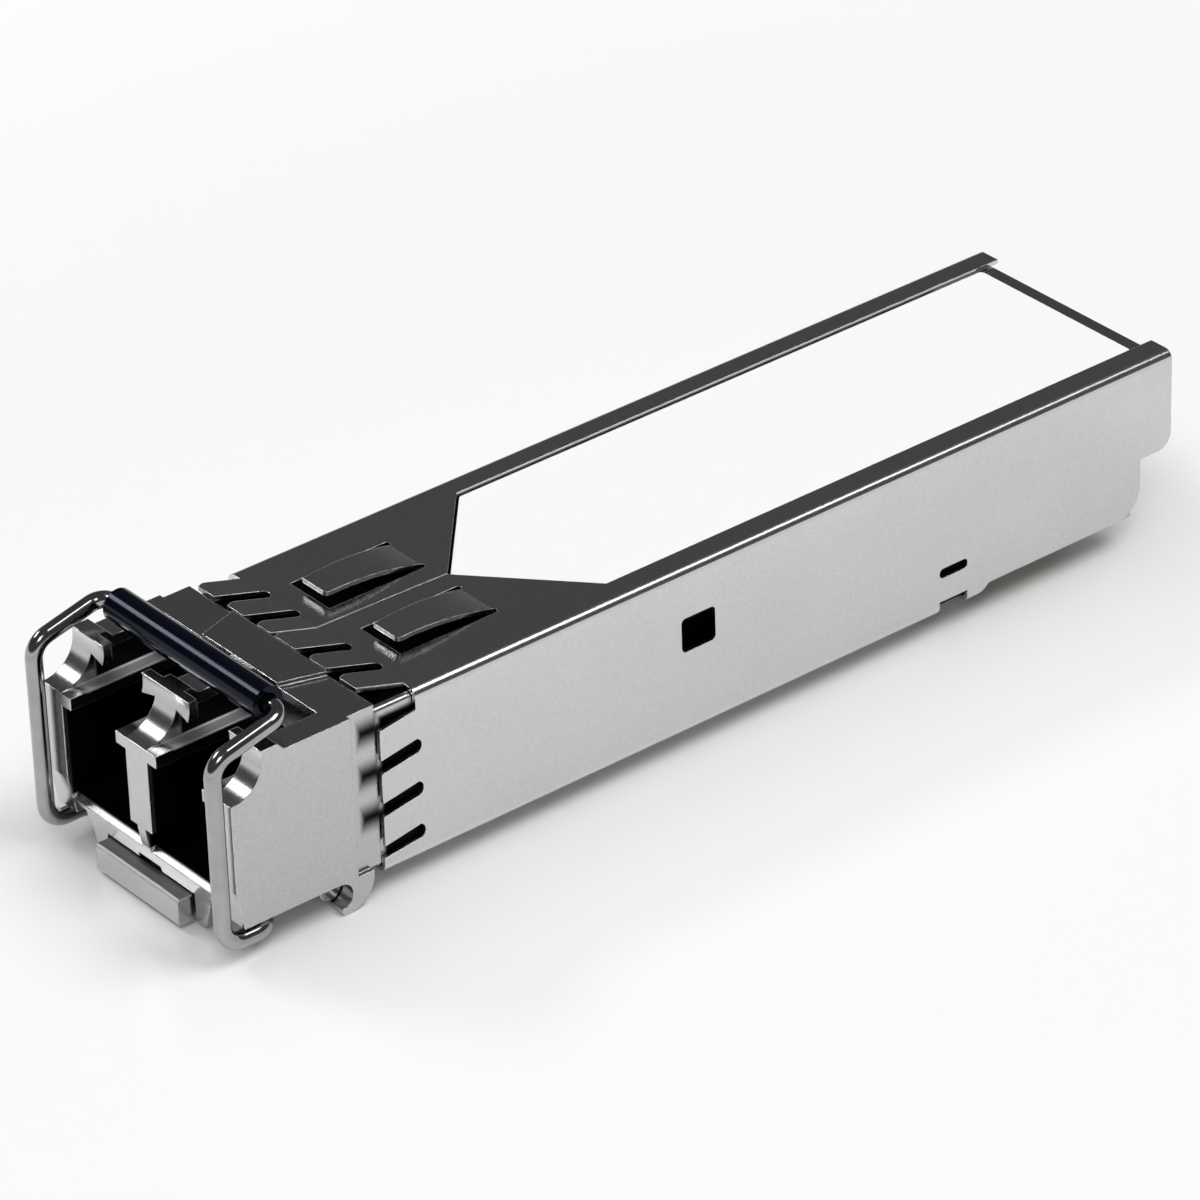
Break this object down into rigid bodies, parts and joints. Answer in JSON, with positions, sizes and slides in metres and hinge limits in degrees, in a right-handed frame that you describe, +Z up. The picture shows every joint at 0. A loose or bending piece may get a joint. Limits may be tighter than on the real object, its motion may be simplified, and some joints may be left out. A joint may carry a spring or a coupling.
{
  "type": "pluggable optical transceiver module",
  "caption": "Slim metal pluggable optical transceiver with a duplex fibre port in its nose, a wire bail that rocks its latch, sprung grounding fingers and a card-edge rear.",
  "frame": {"origin": "on the resting plane, under the middle of the module's overall box", "axes": "+Y along the module from the nose to the card-edge rear, +Z up out of the label, +X to the receive side"},
  "size_m": [0.0138, 0.0554, 0.012],
  "materials": {
    "plated_zinc": "satin nickel plate over die-cast zinc",
    "stainless_sheet": "smooth rolled sheet",
    "plated_wire": "bright nickel plate",
    "grip_tube": "smooth blue-black tube",
    "plated_steel": "satin nickel plate",
    "spring_steel": "rolled strip",
    "amber_optical_plastic": "clear amber moulding",
    "gilt_header": "gold plate",
    "gilt_lead": "gold plate",
    "polyimide": "smooth film",
    "board_laminate": "solder mask",
    "contact_gold": "gold plate",
    "chip_epoxy": "moulded",
    "crystal_lid": "drawn lid",
    "capacitor_ceramic": "fired",
    "resistor_ceramic": "glazed",
    "ferrite": "sintered",
    "label_paper": "matt, bare"
  },
  "bodies": {
    "module": {"die_cast_housing": "plated_zinc", "sheet_metal_sleeve": "stainless_sheet", "latch_spring": "spring_steel", "transmit_barrel": "amber_optical_plastic", "receive_barrel": "amber_optical_plastic", "laser_can": "gilt_header", "detector_can": "gilt_header", "laser_leads": "gilt_lead", "detector_leads": "gilt_lead", "transmit_flex": "polyimide", "receive_flex": "polyimide", "optics_retainer": "spring_steel", "circuit_board": "board_laminate", "edge_contacts": "contact_gold", "laser_driver_chip": "chip_epoxy", "receiver_amplifier_chip": "chip_epoxy", "controller_chip": "chip_epoxy", "memory_chip": "chip_epoxy", "crystal": "crystal_lid", "capacitors": "capacitor_ceramic", "resistors": "resistor_ceramic", "inductors": "ferrite", "roof_label": "label_paper"},
    "bail": {"bail_wire": "plated_wire"},
    "grip": {"bail_grip": "grip_tube"},
    "latch": {"latch_lever": "plated_steel"}
  },
  "joints": [
    {"name": "bail_swing", "type": "hinge", "parent": "module", "child": "bail", "pos_m": [0, -0.02466, 0.001], "axis": [1, 0, 0], "range_deg": [0, 90]},
    {"name": "latch_rock", "type": "hinge", "parent": "module", "child": "latch", "pos_m": [0, -0.02126, 0.001], "axis": [1, 0, 0], "range_deg": [0, 9]},
    {"name": "grip_roll", "type": "hinge", "parent": "bail", "child": "grip", "pos_m": [0, -0.02351, 0.01117], "axis": [1, 0, 0], "continuous": true}
  ],
  "couplings": [
    {"joint": "latch_rock", "follows": "bail_swing", "ratio": 0.1}
  ]
}
